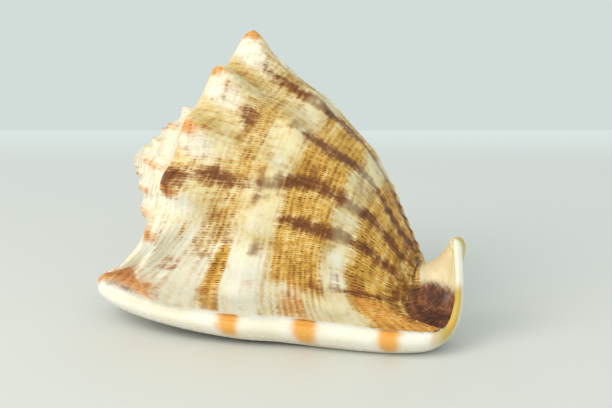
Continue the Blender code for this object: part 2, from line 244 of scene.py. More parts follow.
def relief(w, angles):
    """Height in mm of knobs, ribs and lumps over the plain form."""
    row = np.broadcast_to(w[:, None], (len(w), len(angles)))
    turn = np.broadcast_to(angles[None, :], row.shape)
    ridge = 0.035 + 0.165 * ease(math.radians(86), LIP_ANGLE, turn)
    along = np.where(row < 0.0, row * RING_RADIUS, row * BODY_LENGTH)
    height = np.zeros(row.shape)
    for angle, high, wide, at in KNOBS:
        round_coil = (turn - math.radians(angle)) * RING_RADIUS
        off = along - at * BODY_LENGTH
        far = np.hypot(round_coil / wide, off / np.where(off > 0.0, 15.0, 7.5))
        height = height + high * np.exp(-far**1.35)
        rib = np.exp(-(round_coil / (1.1 * wide)) ** 2)
        height = height + 0.11 * high * rib * ease(-0.02, 0.05, row - at) * (1.0 - ease(0.35, 0.85, row))
        for t, share in LUMP_ROWS:
            near = (round_coil / (0.9 * wide)) ** 2 + ((along - t * BODY_LENGTH) / 7.0) ** 2
            height = height + share * high * np.exp(-near)

    # A hollow ramp between the last ridge and the corner of the lip
    ramp = ease(math.radians(88), math.radians(106), turn) * (1.0 - ease(math.radians(118), LIP_ANGLE, turn))
    ramp = ramp * (turn < LIP_ANGLE) * ease(0.0, 0.09, row)
    height = height - 7.0 * ramp * np.exp(-((row - ridge + 0.11) / 0.075) ** 2)
    return height + 2.5 * ramp * np.exp(-((row - ridge) / 0.035) ** 2)


# Fine relief, in mm: cords along the whorl, growth creases across them, folds and teeth at the slot
CORD_PITCH = 2.4
CORD_HEIGHT = 0.22
GLAZED_ROWS = [(0.315, 0.375), (0.625, 0.69)]  # where later skin has buried the cords
THREAD_PITCH = 1.05  # degrees, about 1 mm at the shoulder
GROWTH_SLANT = 44.0  # degrees that a growth line turns from shoulder to canal
CREASES = [  # growth line in degrees, depth
    (12.0, 0.35), (39.0, 0.30), (61.0, 0.35), (84.0, 0.30), (-35.0, 0.35), (-72.0, 0.30), (-99.0, 0.30)]
TOOTH_PITCH = 8.6
TOOTH_HEIGHT = 1.3
FOLD_PITCH = 5.2
FOLD_HEIGHT = 0.55
COARSE_FROM = 73.0  # mm below the shoulder
COARSENING = 0.45  # share of the cords that end there
BEAD_PITCH = 7.0  # degrees, on the coarse cords only


def cord_place(row):
    """Place in mm along the cords, which lie nearly twice as far apart towards the canal."""
    along = row * BODY_LENGTH
    return along - COARSENING * np.maximum(along - COARSE_FROM, 0.0)


def growth_line(w, turn):
    """Angle in degrees that a growth line, slanting down the whorl, has back at the shoulder."""
    return np.degrees(turn) + GROWTH_SLANT * np.clip(w, 0.0, 1.0)


def fine_relief(w, over, under):
    """Height in mm of cords, creases, folds and teeth."""
    angles = LIP_ANGLE + (SHIELD_ANGLE - LIP_ANGLE) * over
    row, turn = np.meshgrid(w, angles, indexing="ij")
    cords = 0.5 + 0.5 * np.cos(math.tau * cord_place(row) / CORD_PITCH)
    coarse = ease(0.60, 0.76, row)
    beads = 0.5 + 0.5 * np.cos(math.tau * growth_line(row, turn) / BEAD_PITCH)
    cords = cords * (1.0 + coarse * (1.6 * beads - 0.5))
    edge = ease(LIP_ANGLE, LIP_ANGLE - 0.10, turn) * ease(SHIELD_ANGLE, SHIELD_ANGLE + 0.20, turn)
    body = ease(0.03, 0.09, row) * ease(1.01, 0.95, row)
    for low, high in GLAZED_ROWS:
        buried = ease(low - 0.02, low + 0.02, row) * ease(high + 0.02, high - 0.02, row)
        cords = cords * (1.0 - 0.85 * buried)
    wall = CORD_HEIGHT * cords**1.5 * edge * body
    for line, height in CREASES:
        off = growth_line(row, turn) - line
        dip = np.exp(-((off / 1.6) ** 2))
        swell = 0.5 * np.exp(-(((off + 3.4) / 2.2) ** 2))
        wall = wall + height * (swell - dip) * edge * body
    row, across = np.meshgrid(w, under, indexing="ij")
    slot = ease(0.12, 0.26, row) * ease(0.92, 0.80, row)
    tooth = (0.5 + 0.5 * np.cos(math.tau * row * BODY_LENGTH / TOOTH_PITCH)) ** 2
    on_lip = np.exp(-(((across - 0.695) / 0.028) ** 2))
    fold = (0.5 + 0.5 * np.cos(math.tau * (row * BODY_LENGTH + 20.0 * across) / FOLD_PITCH)) ** 1.5
    on_columella = np.exp(-(((across - 0.405) / 0.07) ** 2))
    base = (TOOTH_HEIGHT * tooth * on_lip + FOLD_HEIGHT * fold * on_columella) * slot
    return np.concatenate([wall, base], 1)


def shell_points(w, over, under):
    """Rows w of points in mm, and the column angles."""
    t = np.clip(w, 0.0, TIP_ROW)
    angles = np.concatenate([
        LIP_ANGLE + (SHIELD_ANGLE - LIP_ANGLE) * over,
        SHIELD_ANGLE - (math.tau - LIP_ANGLE + SHIELD_ANGLE) * under])
    rows = section(t, over, under)
    rows[w < 0.0] = spire(1.0 + w[w < 0.0], angles, over, under)
    middle = through(MIDDLE, t)
    heart = np.stack([middle[:, 0], np.zeros(len(t)), middle[:, 1]], -1)[:, None]
    outward = rows - heart
    outward = outward / np.linalg.norm(outward, axis=-1, keepdims=True)
    rows = rows + outward * relief(w, angles)[..., None]

    # Round off the end of the canal
    q = np.clip((w - TIP_ROW) / (1.5 - TIP_ROW), 0.0, 0.995)[:, None, None]
    centre = rows.mean(1, keepdims=True)
    rows = centre + (rows - centre) * np.sqrt(1.0 - q**2) + TIP_RISE * q

    # Fine relief stands square to the surface, which the neighbours in the grid give
    down = np.gradient(rows, axis=0)
    round_ = (np.roll(rows, -1, 1) - np.roll(rows, 1, 1)) / 2
    normal = np.cross(down, round_)
    normal = normal / np.maximum(np.linalg.norm(normal, axis=-1, keepdims=True), 1e-9)
    normal = normal * np.sign((normal * outward).sum(-1).mean())
    rows = rows + normal * fine_relief(w, over, under)[..., None]
    rows[..., 2] = np.maximum(rows[..., 2], 0.0)
    return rows, angles


w = np.concatenate([
    np.linspace(0.03, 1.0, ROWS_SPIRE, endpoint=False) ** 0.9 - 1.0,
    np.linspace(0.0, 1.0, ROWS_BODY, endpoint=False),
    np.linspace(1.0, 1.5, ROWS - 1 - ROWS_SPIRE - ROWS_BODY)])
over = np.linspace(0.0, 1.0, COLUMNS_OVER)
columns_under = COLUMNS - COLUMNS_OVER
under = np.interp(np.arange(1, columns_under + 1) / (columns_under + 1), [0.0, 0.205, 1.0], [0.0, 0.31, 1.0])
points, angles = shell_points(w, over, under)

for existing in bpy.context.selected_objects:
    existing.select_set(False)
bpy.ops.mesh.primitive_uv_sphere_add(segments=COLUMNS, ring_count=ROWS, radius=1.0)
shell = bpy.context.object
shell.name = "shell"
skin = shell.data
ball = np.empty(len(skin.vertices) * 3)
skin.vertices.foreach_get("co", ball)
ball = ball.reshape(-1, 3)
down = np.rint(np.arccos(np.clip(ball[:, 2], -1.0, 1.0)) / math.pi * ROWS).astype(int)
column = np.rint(np.arctan2(ball[:, 1], ball[:, 0]) / math.tau * COLUMNS).astype(int) % COLUMNS
is_apex = down == 0
is_tip = down == ROWS
row_of = np.clip(down - 1, 0, ROWS - 2)
place = points[row_of, column]
place[is_apex] = points[0].mean(0)
place[is_tip] = points[-1].mean(0)
skin.vertices.foreach_set("co", ((place + FRAME_SHIFT) * MM).ravel())
skin.update()
for face in skin.polygons:
    face.use_smooth = True

# Growth map: u once round the coil from the lip, v from the apex to the tip of the canal
growth = skin.uv_layers["UVMap"]
growth.name = "growth"
corner_vertex = np.empty(len(skin.loops), int)
skin.loops.foreach_get("vertex_index", corner_vertex)
round_at = (LIP_ANGLE - angles) / math.tau
u_of = round_at[column]
v_of = (np.where(is_apex, -1.0, np.where(is_tip, 1.5, w[row_of])) + 1.0) / 2.5
face_of = np.repeat(np.arange(len(skin.polygons)), [len(face.vertices) for face in skin.polygons])
at_pole = (is_apex | is_tip)[corner_vertex]
u = u_of[corner_vertex]
highest = np.zeros(len(skin.polygons))
np.maximum.at(highest, face_of, np.where(at_pole, 0.0, u))
u = np.where((highest[face_of] - u > 0.5) & ~at_pole, u + 1.0, u)
total = np.zeros(len(skin.polygons))
np.add.at(total, face_of, np.where(at_pole, 0.0, u))
u = np.where(at_pole, total[face_of] / 2.0, u)
growth.data.foreach_set("uv", np.stack([u, v_of[corner_vertex]], -1).ravel())

# Markings
# Colour laid down at the lip as the shell grew, so it lies in bands along the whorl and in crescents
# across them. Angles are in degrees round the coil, and a stroke is a run of stations.
CRESCENTS = [  # row, angle, half width in mm, strength
    [(-0.03, 74, 3.0, 0.4), (0.03, 73, 5.0, 1.0), (0.06, 71, 5.0, 0.95), (0.10, 67, 3.6, 0.7),
     (0.15, 64, 4.0, 0.9), (0.22, 64, 3.8, 0.8), (0.28, 62, 3.4, 0.6), (0.34, 58, 4.2, 0.75),
     (0.40, 52, 3.8, 0.9), (0.45, 48, 4.0, 1.0), (0.50, 45, 4.2, 1.0), (0.56, 43.5, 3.8, 1.0),
     (0.60, 41, 3.4, 0.95), (0.65, 39, 3.0, 0.85), (0.70, 36.5, 3.0, 0.9), (0.73, 33, 3.0, 0.95),
     (0.80, 30, 3.0, 1.0), (0.90, 26, 3.0, 1.0)],
    [(0.38, 69, 1.5, 0.0), (0.42, 68, 3.4, 0.75), (0.48, 66.5, 3.8, 1.0), (0.52, 65, 3.8, 1.0),
     (0.56, 64, 3.4, 0.95), (0.60, 62, 3.0, 0.85), (0.65, 58.5, 2.8, 0.8), (0.70, 57.5, 2.8, 0.85),
     (0.74, 55, 2.8, 0.95), (0.78, 52, 3.0, 1.0), (0.83, 50, 3.0, 1.0), (0.88, 48, 3.0, 1.0),
     (0.94, 44, 2.8, 0.8)],
    [(0.30, 29, 1.5, 0.0), (0.34, 28, 3.0, 0.65), (0.40, 27, 3.6, 0.85), (0.44, 24, 4.0, 1.0),
     (0.48, 23, 4.2, 1.0), (0.53, 21.5, 4.0, 1.0), (0.56, 19, 3.6, 0.95), (0.60, 16, 3.4, 0.85),
     (0.65, 13.5, 3.2, 0.8), (0.70, 12, 3.0, 0.9), (0.77, 11, 3.0, 1.0), (0.83, 8.5, 3.0, 1.0),
     (0.90, 1, 2.8, 1.0)],
    [(0.08, 9, 1.5, 0.0), (0.14, 9, 3.2, 0.7), (0.28, 7, 3.4, 0.75), (0.36, 5, 3.6, 0.75),
     (0.42, 0, 4.2, 1.0), (0.50, -3, 4.4, 1.0), (0.56, -6, 3.8, 0.95), (0.64, -9, 3.2, 0.8),
     (0.74, -12, 3.0, 0.9), (0.86, -16, 3.0, 1.0), (0.92, -19, 2.6, 0.8)],
    [(0.52, 97, 1.5, 0.0), (0.56, 93, 3.4, 0.6), (0.60, 91, 2.8, 0.5), (0.68, 89, 1.2, 0.6),
     (0.75, 86, 1.4, 0.75), (0.80, 83, 1.6, 0.85), (0.85, 79, 1.8, 0.9), (0.90, 74, 2.0, 0.9),
     (0.95, 66, 2.0, 0.9)],
]
FAR_SIDE = [  # crescent that is repeated, degrees further round
    (0, -112.0), (1, -86.0), (2, -68.0), (3, -108.0), (0, -150.0), (1, -172.0)]
HALO = 2.3  # width of the gold round a crescent, as a share of the crescent's
GIRTH = [  # row, radius as a share of the shoulder's
    (-1.0, 0.1), (0.0, 1.0), (0.3, 0.95), (0.6, 0.8), (0.8, 0.6), (1.0, 0.4), (1.5, 0.2)]

girth = np.array(GIRTH)
surface_mm = RING_RADIUS * np.interp(w, girth[:, 0], girth[:, 1])
row_grid = np.broadcast_to(w[:, None], (len(w), len(angles)))
turn_grid = np.broadcast_to(np.degrees(angles)[None, :], row_grid.shape)


def stroke(stations):
    """Strength of one marking over the whole skin."""
    table = np.array(stations)
    middle, half, strength = (np.interp(w, table[:, 0], table[:, k])[:, None] for k in (1, 2, 3))
    inside = ((w >= table[0, 0] - 0.02) & (w <= table[-1, 0] + 0.02))[:, None]
    off = np.radians(turn_grid - middle) * surface_mm[:, None]
    return strength * inside * np.exp(-(np.abs(off) / half) ** 2.2)


def blot(row, turn, long, wide, strength=1.0):
    """Strength of one soft round spot, its half length along the rows and half width across them in mm."""
    off = np.radians(turn_grid - turn) * surface_mm[:, None]
    away = ((row_grid - row) * BODY_LENGTH / long) ** 2 + (off / wide) ** 2
    return strength * np.exp(-(away**1.2))


def band(low, high, soft, first=-180.0, last=180.0, strength=1.0):
    """Strength of a band along the whorl between two rows and two angles."""
    rows_in = ease(low - soft, low + soft, row_grid) * ease(high + soft, high - soft, row_grid)
    turns_in = ease(first - 6.0, first + 6.0, turn_grid) * ease(last + 6.0, last - 6.0, turn_grid)
    return strength * rows_in * turns_in


def strongest(*masks):
    """The strongest of several markings at each point."""
    return np.maximum.reduce(masks)


is_under = np.broadcast_to((np.arange(len(angles)) >= COLUMNS_OVER)[None, :], row_grid.shape)
on_wall = np.where(is_under, 0.0, 1.0)
across = np.concatenate([np.zeros(COLUMNS_OVER), under])[None, :]
lip_share = ease(121.5, 124.5, turn_grid) * ease(0.02, 0.06, row_grid)
canal = ease(1.03, 1.07, row_grid)

crescent_strokes = [stroke(stations) for stations in CRESCENTS]
for number, shift in FAR_SIDE:
    crescent_strokes.append(stroke([
        (row, turn + shift * (1.0 - 0.25 * max(row, 0.0)), half, strength)
        for row, turn, half, strength in CRESCENTS[number]]))
halo_strokes = [
    0.8 * stroke([(row, turn, HALO * half, strength) for row, turn, half, strength in stations])
    for stations in CRESCENTS]

brown = strongest(
    *crescent_strokes,
    blot(0.17, 36.0, 4.5, 4.5, 0.8), blot(0.35, 85.0, 3.6, 3.0, 0.55), blot(0.60, 88.0, 2.5, 3.0, 0.5),
    blot(0.155, 101.0, 3.5, 4.0, 0.45), blot(0.65, 81.0, 3.0, 3.0, 0.35), blot(0.31, 65.0, 5.0, 4.0, 0.55),
    blot(0.48, 103.0, 4.0, 3.0, 0.45), band(0.87, 1.04, 0.04, -20, 112, 0.6),
    band(0.96, 1.04, 0.03, 96, 124, 0.6))

gold = strongest(
    *halo_strokes,
    band(0.17, 0.27, 0.02, -30, 96, 0.75), band(0.222, 0.245, 0.010, -20, 92, 0.9),
    band(0.242, 0.288, 0.010, 84, 124, 1.0), band(0.185, 0.245, 0.012, -120, 10, 0.65),
    band(0.02, 0.42, 0.03, -40, 62, 0.45), band(0.04, 0.16, 0.03, 20, 66, 0.45),
    band(0.40, 0.61, 0.025, -125, 100, 0.97), band(0.44, 0.535, 0.02, 104, 126, 0.8),
    band(0.60, 0.72, 0.03, -125, 62, 0.55), band(0.70, 1.06, 0.025, -125, 126, 1.0),
    blot(0.40, 24.0, 6.0, 8.0, 0.5), blot(0.34, 30.0, 6.0, 8.0, 0.7), blot(0.30, 66.0, 5.0, 6.0, 0.6),
    blot(0.12, 88.0, 4.0, 4.5, 0.8), blot(0.20, 90.0, 6.0, 4.0, 0.8), blot(0.33, 72.0, 3.5, 3.0, 0.5))

white = strongest(
    band(0.30, 0.385, 0.02, 90, 126, 0.85), band(0.625, 0.695, 0.02, 84, 126, 0.3),
    band(0.30, 0.385, 0.02, -130, -20, 0.6), band(0.0, 0.40, 0.03, 84, 126, 0.55),
    band(-1.2, -0.02, 0.02, -130, 126, 0.6),
    blot(0.33, 75.0, 4.5, 5.0, 0.45), blot(0.34, 47.0, 4.5, 6.0, 0.4), blot(0.345, 15.0, 5.0, 5.5, 0.35),
    blot(0.66, 49.0, 5.5, 5.5, 0.35), blot(0.67, 25.0, 4.5, 4.0, 0.3), blot(0.66, 72.0, 5.0, 5.0, 0.6),
    blot(0.67, 84.0, 6.0, 6.0, 0.6),
    *[blot(at + 0.03, angle + 5.5, 9.0, 4.5, 0.95) for angle, high, wide, at in KNOBS])

spire_spots = 0.5 + 0.5 * np.cos(np.radians(turn_grid) * SPIRE_KNOBS)
orange = strongest(
    0.5 * spire_spots**4 * ease(-0.02, -0.10, row_grid),
    *[blot(at - 0.01, angle + 1.0, 6.5, 1.9, 0.95) for angle, high, wide, at in KNOBS[:2]],
    *[blot(at - 0.01, angle + 1.5, 6.5, 2.6, 0.95) for angle, high, wide, at in KNOBS[2:]],
    blot(0.035, 73.0, 4.5, 5.0, 0.6), blot(0.35, 102.0, 4.0, 4.0, 0.5), blot(0.155, 101.0, 4.5, 4.5, 0.45),
    band(0.03, 0.17, 0.02, 108, 130, 1.0), band(-0.20, 0.04, 0.03, 114, 130, 0.9),
    band(0.245, 0.28, 0.01, 100, 124, 0.4), band(0.44, 0.53, 0.015, 92, 126, 0.55),
    band(0.72, 0.99, 0.03, 84, 130, 0.6), band(1.04, 1.20, 0.02, 92, 130, 0.7))

glazed = strongest(*[band(low, high, 0.02) for low, high in GLAZED_ROWS])

# Orange bars across the lip, also on its rolled edge below
BARS = [  # row, half width in mm, strength
    (0.305, 3.2, 0.9), (0.515, 4.6, 1.0), (0.76, 4.2, 1.0), (0.915, 3.5, 0.45), (1.02, 3.0, 0.5)]
bars = strongest(*[
    strength * np.exp(-(((row_grid - row) * BODY_LENGTH / half) ** 2)) for row, half, strength in BARS])

# Dark brown round the root of the canal, and painted shade: a dark line in the crease across it and along
# the seam where the flank meets the lip
DARK_TO = [(20.0, 1.035), (52.0, 1.105), (72.0, 1.155), (90.0, 1.175), (126.0, 1.165)]  # angle, row
DARK_FROM = [(30.0, 0.955), (86.0, 0.925), (96.0, 0.905), (126.0, 0.94)]
SEAM_ANGLE = 124.6
dark_to = np.interp(turn_grid, *np.array(DARK_TO).T)
dark_from = np.interp(turn_grid, *np.array(DARK_FROM).T)
dark = ease(dark_to + 0.06, dark_to - 0.05, row_grid) * ease(20.0, 64.0, turn_grid)
dark = dark * ease(0.0, 0.05, row_grid - dark_from)
# Painted shade: a thin dark line along the seam where the flank steps down to the lip, stronger above the
# orange bars
seam_shade = np.exp(-(((turn_grid - SEAM_ANGLE) / 0.9) ** 2))
seam_shade = seam_shade * ease(0.04, 0.07, row_grid) * ease(1.0, 0.96, row_grid)
# Painted shade: a thin dark line in the crease across the root of the canal
crease_shade = np.exp(-(((row_grid - 1.003) / 0.016) ** 2))
crease_shade = crease_shade * ease(-60.0, -10.0, turn_grid) * ease(124.0, 100.0, turn_grid)
# The dark mask joins the brown canal patch, the painted shade lines and two darker spots on the lip's seam
dark = strongest(
    dark, seam_shade * (0.30 + 0.45 * bars), 0.75 * crease_shade,
    blot(0.93, 124.0, 3.0, 1.4, 0.8), blot(0.10, 122.5, 7.0, 0.9, 0.7))
bars = np.where(is_under, bars * ease(0.74, 0.88, across), bars * lip_share)

# Smooth skin of lip, canal and underside, yellower round the canal, with painted brown shade deep in the
# slot
smooth = strongest(np.where(is_under, 1.0, 0.0), lip_share, canal)
yolk = strongest(
    0.62 * canal * ~is_under, is_under * ease(1.0, 1.08, row_grid) * ease(0.45, 0.25, across),
    is_under * band(0.93, 1.20, 0.04, -400, 400) * ease(0.74, 0.86, across), 0.12 * is_under)
# Painted shade: brown laid where the slot is deepest
deep = is_under * np.exp(-(((across - 0.56) / 0.09) ** 2))
deep = deep * ease(0.10, 0.24, row_grid) * ease(1.0, 0.85, row_grid)

layers = {
    "brown": brown * on_wall, "gold": gold * on_wall, "white": white, "orange": orange * on_wall,
    "glazed": glazed * on_wall, "dark": dark * on_wall, "smooth": smooth, "bars": bars, "yolk": yolk,
    "deep": deep}
for name, strengths in layers.items():
    layer = skin.attributes.new(name, "FLOAT", "POINT")
    layer.data.foreach_set("value", strengths[row_of, column].astype(np.float32))


def linear(code):
    """sRGB hex colour as the linear values that a shader takes."""
    shares = [int(code[i:i + 2], 16) / 255 for i in (1, 3, 5)]
    return [c / 12.92 if c <= 0.04045 else ((c + 0.055) / 1.055) ** 2.4 for c in shares] + [1.0]


def add(tree, kind, inputs=None, out=0, **settings):
    """Adds a node with its settings, sets or links its sockets, and gives back one of its outputs."""
    node = tree.nodes.new(kind)
    for name, value in settings.items():
        setattr(node, name, value)
    for socket, value in (inputs or {}).items():
        if isinstance(value, bpy.types.NodeSocket):
            tree.links.new(value, node.inputs[socket])
        else:
            node.inputs[socket].default_value = value
    return node.outputs[out]


# Polished aragonite: a cream porcelain-like skin, glossy at lip and shield and satin over the cords
finish = bpy.data.materials.new("cream aragonite shell")
finish.use_nodes = True
tree = finish.node_tree
surface = tree.nodes["Principled BSDF"]
MATH = "ShaderNodeMath"
MIX = "ShaderNodeMix"
RANGE = "ShaderNodeMapRange"
NOISE = "ShaderNodeTexNoise"
AS_COLOUR = {"out": 2, "data_type": "RGBA"}
mask = {name: add(tree, "ShaderNodeAttribute", out="Fac", attribute_name=name) for name in layers}
growth_uv = add(tree, "ShaderNodeUVMap", uv_map="growth")
round_share = add(tree, "ShaderNodeSeparateXYZ", {0: growth_uv}, out=0)
down_share = add(tree, "ShaderNodeSeparateXYZ", {0: growth_uv}, out=1)
spot = add(tree, "ShaderNodeTexCoord", out="Object")

# Row along the shell, and degrees from the lip along a growth line
row_at = add(tree, MATH, {0: down_share, 1: 2.5, 2: -1.0}, operation="MULTIPLY_ADD")
row_mm = add(tree, MATH, {0: row_at, 1: BODY_LENGTH}, operation="MULTIPLY")
row_body = add(tree, RANGE, {0: row_at}, clamp=True)
slant = add(tree, MATH, {0: row_body, 1: -GROWTH_SLANT}, operation="MULTIPLY")
growth_deg = add(tree, MATH, {0: round_share, 1: 360.0, 2: slant}, operation="MULTIPLY_ADD")

# Blotches, and streaks 2 mm across that run 7 mm along the growth lines
patch = add(tree, NOISE, {"Vector": spot, "Scale": 90.0, "Detail": 4.0, "Roughness": 0.6})
mottle = add(tree, NOISE, {"Vector": spot, "Scale": 330.0, "Detail": 3.0, "Roughness": 0.6})
streak_x = add(tree, MATH, {0: growth_deg, 1: 0.5}, operation="MULTIPLY")
streak_y = add(tree, MATH, {0: row_mm, 1: 0.16}, operation="MULTIPLY")
streak_at = add(tree, "ShaderNodeCombineXYZ", {0: streak_x, 1: streak_y})
streak = add(tree, NOISE, {"Vector": streak_at, "Scale": 1.0, "Detail": 4.0, "Roughness": 0.65})
column_x = add(tree, MATH, {0: row_mm, 1: 0.40}, operation="MULTIPLY")
column_y = add(tree, MATH, {0: growth_deg, 1: 0.045}, operation="MULTIPLY")
column_at = add(tree, "ShaderNodeCombineXYZ", {0: column_x, 1: column_y})
column_noise = add(tree, NOISE, {"Vector": column_at, "Scale": 1.0, "Detail": 3.0, "Roughness": 0.6})
near_lip = add(tree, RANGE, {0: round_share, 1: 0.17, 2: 0.09}, interpolation_type="SMOOTHSTEP")

# Cords along the whorl and finer growth threads across them, which merge in pairs towards the canal
fine_wobble = add(tree, MATH, {0: mottle, 1: 3.0}, operation="MULTIPLY")
wobble = add(tree, MATH, {0: streak, 1: 7.0, 2: fine_wobble}, operation="MULTIPLY_ADD")
past = add(tree, MATH, {0: row_mm, 1: COARSE_FROM}, operation="SUBTRACT")
past = add(tree, MATH, {0: past, 1: 0.0}, operation="MAXIMUM")
cord_mm = add(tree, MATH, {0: past, 1: -COARSENING, 2: row_mm}, operation="MULTIPLY_ADD")
cord_turn = add(tree, MATH, {0: cord_mm, 1: math.tau / CORD_PITCH, 2: wobble}, operation="MULTIPLY_ADD")
cord_size = add(tree, NOISE, {"W": row_mm, "Scale": 0.33, "Detail": 1.0}, noise_dimensions="1D")
thread_size = add(tree, NOISE, {"W": growth_deg, "Scale": 0.55, "Detail": 2.0}, noise_dimensions="1D")
cord_wave = add(tree, MATH, {0: cord_turn}, operation="COSINE")
groove = add(tree, MATH, {0: cord_wave, 1: -0.5, 2: cord_size}, operation="MULTIPLY_ADD")
thread_turn = add(
    tree, MATH, {0: growth_deg, 1: math.tau / THREAD_PITCH, 2: wobble}, operation="MULTIPLY_ADD")
thread_half = add(tree, MATH, {0: thread_turn, 1: 0.5}, operation="MULTIPLY")
fine_wave = add(tree, MATH, {0: thread_turn}, operation="COSINE")
wide_wave = add(tree, MATH, {0: thread_half}, operation="COSINE")
thread_fine = add(tree, MATH, {0: fine_wave, 1: 0.4, 2: thread_size}, operation="MULTIPLY_ADD")
thread_wide = add(tree, MATH, {0: wide_wave, 1: 0.4, 2: thread_size}, operation="MULTIPLY_ADD")
merged = add(tree, RANGE, {0: row_at, 1: 0.55, 2: 0.72}, interpolation_type="SMOOTHSTEP")
thread = add(tree, MIX, {0: merged, 2: thread_fine, 3: thread_wide}, data_type="FLOAT")
groove_share = add(tree, RANGE, {0: groove, 1: 0.15, 2: 0.70, 3: 0.15}, interpolation_type="SMOOTHSTEP")
thread_share = add(tree, RANGE, {0: thread, 1: 0.15, 2: 0.75, 3: 0.10}, interpolation_type="SMOOTHSTEP")
cord_number = add(tree, MATH, {0: cord_turn, 1: 1.0 / math.tau, 2: 0.5}, operation="MULTIPLY_ADD")
cord_number = add(tree, MATH, {0: cord_number}, operation="FLOOR")
thread_number = add(tree, MATH, {0: thread_turn, 1: 1.0 / math.tau, 2: 0.5}, operation="MULTIPLY_ADD")
thread_number = add(tree, MATH, {0: thread_number}, operation="FLOOR")
bead_at = add(tree, "ShaderNodeCombineXYZ", {0: cord_number, 1: thread_number})
bead = add(tree, "ShaderNodeTexWhiteNoise", {0: bead_at}, noise_dimensions="2D")
dashes = add(tree, MATH, {0: groove_share, 1: thread_share}, operation="MULTIPLY")
bead_share = add(tree, MATH, {0: bead, 1: 0.75, 2: 0.5}, operation="MULTIPLY_ADD")
dashes = add(tree, MATH, {0: dashes, 1: bead_share}, operation="MULTIPLY", use_clamp=True)
worn = add(tree, RANGE, {0: mottle, 1: 0.40, 2: 0.62, 4: 0.65})
dashes = add(tree, MIX, {0: worn, 2: dashes, 3: 0.32}, data_type="FLOAT")
sleek = add(tree, MATH, {0: mask["glazed"], 1: mask["smooth"]}, operation="MAXIMUM")
matt = add(tree, MATH, {0: 1.0, 1: sleek}, operation="SUBTRACT")
dash = add(tree, MIX, {0: sleek, 2: dashes, 3: 0.40}, data_type="FLOAT")

# Ground: straw cream, whiter on knobs, in the glazed bands and at the lip
straw_share = add(tree, RANGE, {0: patch, 1: 0.38, 2: 0.66}, interpolation_type="SMOOTHSTEP")
ground = add(tree, MIX, {0: straw_share, 6: linear("#EFDFB0"), 7: linear("#DDBE74")}, **AS_COLOUR)
white_share = add(tree, MATH, {0: mottle, 1: 0.5, 2: mask["white"]}, operation="MULTIPLY_ADD")
white_share = add(tree, RANGE, {0: white_share, 1: 0.25, 2: 1.1}, interpolation_type="SMOOTHSTEP")
colour = add(tree, MIX, {0: white_share, 6: ground, 7: linear("#F8F1DE")}, **AS_COLOUR)

# Thin golden veins follow the growth threads, and near the lip the grooves between pale cords
flow = add(tree, MIX, {0: near_lip, 2: streak, 3: column_noise}, data_type="FLOAT")
vein = add(tree, RANGE, {0: flow, 1: 0.40, 2: 0.64, 4: 0.85}, interpolation_type="SMOOTHSTEP")
vein_share = add(tree, MATH, {0: dash, 1: 0.75, 2: 0.25}, operation="MULTIPLY_ADD")
vein = add(tree, MATH, {0: vein, 1: vein_share}, operation="MULTIPLY")
bare = add(tree, MATH, {0: mask["white"], 1: -0.75, 2: 1.0}, operation="MULTIPLY_ADD")
bare = add(tree, MATH, {0: bare, 1: matt}, operation="MULTIPLY")
vein = add(tree, MATH, {0: vein, 1: bare}, operation="MULTIPLY")
colour = add(tree, MIX, {0: vein, 6: colour, 7: linear("#CB9132")}, **AS_COLOUR)
crest = add(tree, MATH, {0: groove_share, 1: -0.7, 2: 0.7}, operation="MULTIPLY_ADD")
crest_here = add(tree, RANGE, {0: row_at, 1: 0.75, 2: 0.45}, interpolation_type="SMOOTHSTEP")
crest_here = add(tree, MATH, {0: near_lip, 1: crest_here}, operation="MULTIPLY")
crest = add(tree, MATH, {0: crest, 1: crest_here}, operation="MULTIPLY")
colour = add(tree, MIX, {0: crest, 6: colour, 7: linear("#FAF4E2")}, **AS_COLOUR)

# Gold bands break up into dashes at their edges
ragged = add(tree, MATH, {0: streak, 1: 1.1, 2: -1.65}, operation="MULTIPLY_ADD")
ragged = add(tree, MATH, {0: patch, 1: 1.3, 2: ragged}, operation="MULTIPLY_ADD")
ragged = add(tree, MATH, {0: column_noise, 1: 0.9, 2: ragged}, operation="MULTIPLY_ADD")
gold_share = add(tree, MATH, {0: dash, 1: 0.50, 2: 0.65}, operation="MULTIPLY_ADD")
gold_share = add(tree, MATH, {0: gold_share, 1: mask["gold"], 2: ragged}, operation="MULTIPLY_ADD")
gold_share = add(tree, RANGE, {0: gold_share, 1: 0.20, 2: 0.78}, interpolation_type="SMOOTHSTEP")
gold_share = add(tree, MATH, {0: gold_share, 1: mask["gold"]}, operation="MULTIPLY")
gilt_ragged = add(tree, MATH, {0: ragged, 1: 1.3, 2: 0.05}, operation="MULTIPLY_ADD")
gilt_share = add(tree, MATH, {0: dash, 1: 0.9, 2: gilt_ragged}, operation="MULTIPLY_ADD")
gilt = add(tree, MIX, {0: gilt_share, 6: linear("#EDB746"), 7: linear("#743604")}, **AS_COLOUR)
colour = add(tree, MIX, {0: gold_share, 6: colour, 7: gilt}, **AS_COLOUR)

# Orange on the knobs, the ramp and the last stretch before the lip
orange_share = add(tree, MATH, {0: ragged, 1: 0.8, 2: mask["orange"]}, operation="MULTIPLY_ADD")
orange_share = add(tree, RANGE, {0: orange_share, 1: 0.15, 2: 0.85, 4: 0.9}, interpolation_type="SMOOTHSTEP")
amber = add(tree, MIX, {0: dash, 6: linear("#F2A850"), 7: linear("#B05412")}, **AS_COLOUR)
colour = add(tree, MIX, {0: orange_share, 6: colour, 7: amber}, **AS_COLOUR)

